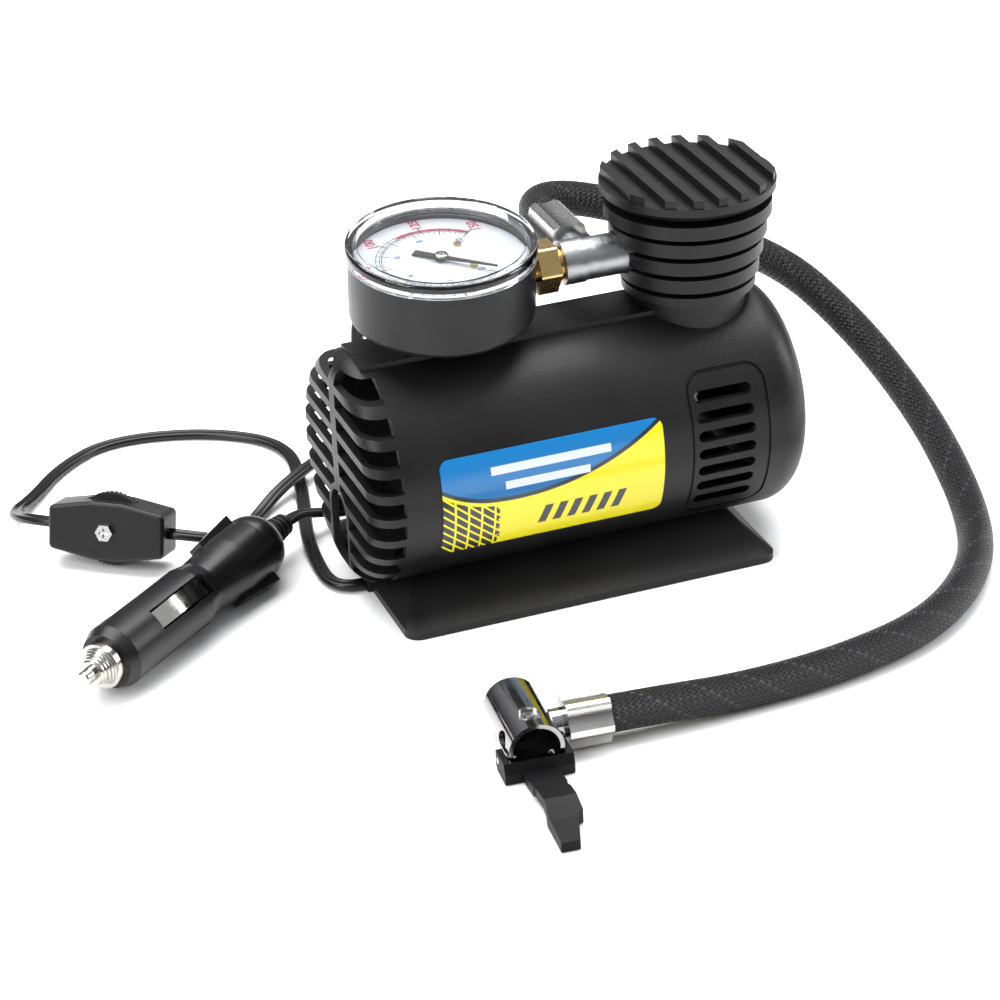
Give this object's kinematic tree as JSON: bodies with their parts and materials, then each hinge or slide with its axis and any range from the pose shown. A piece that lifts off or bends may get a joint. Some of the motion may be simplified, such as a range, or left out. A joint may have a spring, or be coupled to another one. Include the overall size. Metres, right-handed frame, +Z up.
{
  "type": "portable tire inflator",
  "caption": "Portable 12 V tire inflator: motor barrel on a flat foot, finned pump tower, dial pressure gauge, braided hose with lever chuck, and a cord with an in-line switch and socket plug.",
  "frame": {"origin": "on the ground under the middle of the motor barrel, the bottom centre of the box round everything but the free hose and cord", "axes": "+X along the motor barrel towards the pump tower, +Y to the back, +Z up"},
  "size_m": [0.3052, 0.3712, 0.1247],
  "materials": {
    "shell_plastic": "satin fine grain",
    "label_print": "printed film",
    "black_plastic": "satin",
    "black_rubber": "matt",
    "cord_pvc": "satin",
    "braided_hose": "woven braid",
    "zinc_steel": "zinc plated",
    "nickel": "bright",
    "dark_chrome": "dark bright",
    "cast_zinc": "as cast",
    "brass": "machined",
    "steel": "ground",
    "copper_winding": "enamelled wire",
    "ferrite": "sintered",
    "nylon_gear": "moulded",
    "clear_lens": "clear moulded",
    "dial_face": "printed white",
    "needle_black": "matt",
    "seal_rubber": "matt",
    "fuse_glass": "clear",
    "carbon": "pressed"
  },
  "bodies": {
    "housing": {"front_shell": "shell_plastic", "back_shell": "shell_plastic", "shell_screws": "steel", "rating_label": "label_print", "cord_grommet": "black_rubber", "motor_can": "zinc_steel", "motor_magnets": "ferrite", "motor_end_cap": "nylon_gear", "motor_brushes": "carbon", "gear_axle": "steel", "gear_frame": "zinc_steel", "motor_screws": "steel", "pump_cylinder": "cast_zinc", "cylinder_head": "cast_zinc", "valve_plate": "steel", "head_screws": "steel", "outlet_manifold": "cast_zinc", "gauge_stem": "brass", "gauge_case": "black_plastic", "gauge_lens": "clear_lens", "gauge_dial": "dial_face", "dial_screws": "brass", "gauge_movement_frame": "brass", "bourdon_tube": "brass", "air_hose": "braided_hose", "hose_ferrule_pump": "nickel", "hose_ferrule_chuck": "nickel", "chuck_barrel": "dark_chrome", "chuck_seal": "seal_rubber", "valve_depressor": "brass", "locking_pin": "nickel", "lever_pins": "steel", "switch_front": "black_plastic", "switch_back": "black_plastic", "switch_screw": "nickel", "plug_ring": "nickel", "plug_shell_upper": "black_plastic", "plug_shell_lower": "black_plastic", "plug_fuse": "fuse_glass", "plug_strain_relief": "black_rubber", "power_cord_to_switch": "cord_pvc", "power_cord_to_coil": "cord_pvc", "power_cord_to_plug": "cord_pvc", "power_cord_coil": "cord_pvc"},
    "motor_rotor": {"motor_shaft": "steel", "motor_armature": "copper_winding", "motor_pinion": "brass"},
    "crank_gear": {"drive_gear": "nylon_gear", "gear_bush": "brass", "crank_pin": "steel"},
    "piston": {"piston_rod": "nylon_gear", "piston_seal": "seal_rubber"},
    "gauge_sector_body": {"gauge_sector": "brass"},
    "gauge_pointer": {"gauge_needle": "needle_black", "gauge_pinion": "brass"},
    "thumbwheel": {"switch_wheel": "black_plastic"},
    "plug_tip_body": {"plug_tip": "nickel"},
    "contact_upper_body": {"plug_contact_upper": "nickel"},
    "contact_lower_body": {"plug_contact_lower": "nickel"},
    "lever": {"chuck_lever": "black_plastic"}
  },
  "joints": [
    {"name": "gear_spin", "type": "hinge", "parent": "housing", "child": "crank_gear", "pos_m": [0.0405, 0, 0.05405], "axis": [1, 0, 0], "continuous": true},
    {"name": "motor_spin", "type": "hinge", "parent": "housing", "child": "motor_rotor", "pos_m": [0, 0, 0.0348], "axis": [1, 0, 0], "continuous": true},
    {"name": "piston_slide", "type": "slide", "parent": "housing", "child": "piston", "axis": [0, 0, 1], "range_m": [0, 0.01]},
    {"name": "sector_swing", "type": "hinge", "parent": "housing", "child": "gauge_sector_body", "pos_m": [-0.0548, 0, 0.1], "axis": [0, -0.0872, 0.9962], "range_deg": [0, 33.75]},
    {"name": "needle_swing", "type": "hinge", "parent": "housing", "child": "gauge_pointer", "pos_m": [-0.0368, 0, 0.1], "axis": [0, -0.0872, 0.9962], "range_deg": [-270, 0]},
    {"name": "switch_wheel_spin", "type": "hinge", "parent": "housing", "child": "thumbwheel", "pos_m": [-0.1378, 0.0489, 0.0125], "axis": [-0.5664, -0.7824, 0.2588], "continuous": true},
    {"name": "plug_tip_slide", "type": "slide", "parent": "housing", "child": "plug_tip_body", "axis": [0.779, 0.627, 0], "range_m": [0, 0.003], "stiffness_N_per_m": 900, "springref_m": -0.002},
    {"name": "contact_upper_slide", "type": "slide", "parent": "housing", "child": "contact_upper_body", "axis": [-0.4358, 0.5415, -0.7189], "range_m": [0, 0.0012], "stiffness_N_per_m": 1500, "springref_m": -0.001},
    {"name": "contact_lower_slide", "type": "slide", "parent": "housing", "child": "contact_lower_body", "axis": [0.4358, -0.5415, 0.7189], "range_m": [0, 0.0012], "stiffness_N_per_m": 1500, "springref_m": -0.001},
    {"name": "chuck_lever_swing", "type": "hinge", "parent": "housing", "child": "lever", "pos_m": [-0.05717, -0.12102, 0.004], "axis": [0.9963, -0.086, 0], "range_deg": [0, 90]}
  ],
  "couplings": [
    {"joint": "gear_spin", "follows": "motor_spin", "ratio": -0.25},
    {"joint": "needle_swing", "follows": "sector_swing", "ratio": -8}
  ]
}
